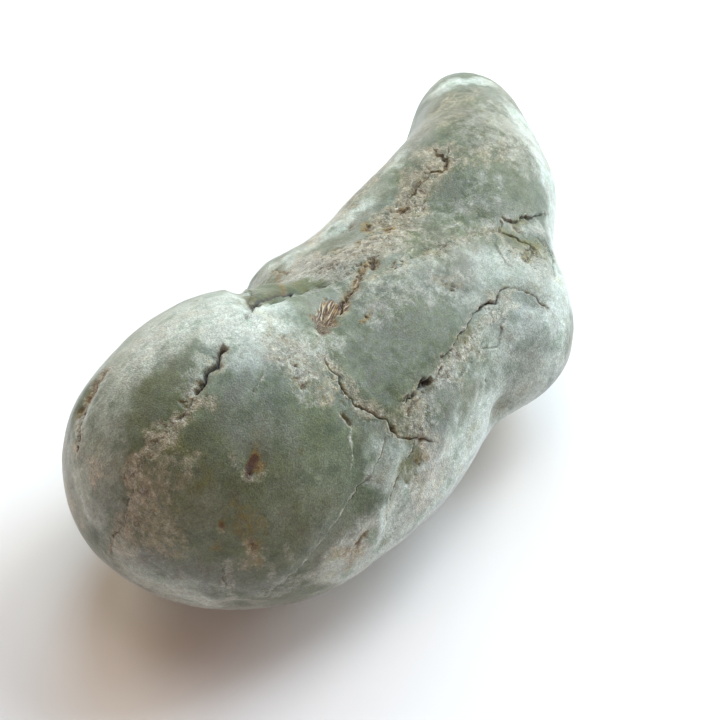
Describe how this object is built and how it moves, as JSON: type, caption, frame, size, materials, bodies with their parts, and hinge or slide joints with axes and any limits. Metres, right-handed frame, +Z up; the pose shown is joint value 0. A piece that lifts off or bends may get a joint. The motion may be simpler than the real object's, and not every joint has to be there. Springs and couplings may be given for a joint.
{
  "type": "raw jadeite cobble",
  "caption": "Water-worn raw jadeite cobble, bent like a boot, with a broad rounded end, a tapering end, rough cracks and small pits; rests on a worn underside.",
  "frame": {"origin": "on the resting plane, under the middle of the stone's bounding box", "axes": "+X along the stone from the broad rounded end to the narrow tip, +Z up"},
  "size_m": [0.1066, 0.0526, 0.0398],
  "materials": {
    "raw_jadeite": "frosted sage-green river-worn skin with pale and ochre crack fillings"
  },
  "bodies": {
    "root": {"jade_boulder": "raw_jadeite"}
  },
  "joints": []
}
